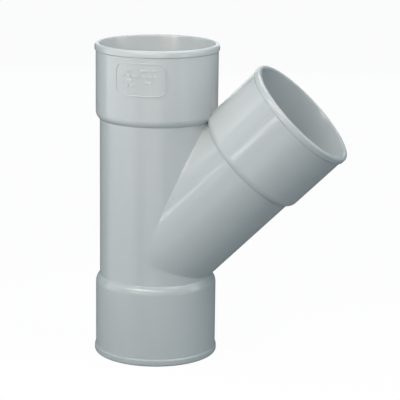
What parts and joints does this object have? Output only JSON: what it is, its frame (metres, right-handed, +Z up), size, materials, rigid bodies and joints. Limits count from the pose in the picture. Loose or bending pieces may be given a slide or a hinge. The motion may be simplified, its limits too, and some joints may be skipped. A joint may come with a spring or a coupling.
{
  "type": "lateral wye fitting",
  "caption": "Rigid plastic 45 degree wye: a straight run with a socket at each end and an equal socketed branch, for joining glued drain pipe.",
  "frame": {"origin": "centre of the lower mouth of the run, on the plane of its rim", "axes": "+Z up the axis of the run to the upper mouth, +X towards the branch, which leans 45 degrees from +Z; XZ is the mirror plane"},
  "size_m": [0.2455, 0.1208, 0.306],
  "materials": {
    "grey_pvc": "light bluish grey moulded plastic with a satin gloss"
  },
  "bodies": {
    "root": {"wye_body": "grey_pvc"}
  },
  "joints": []
}
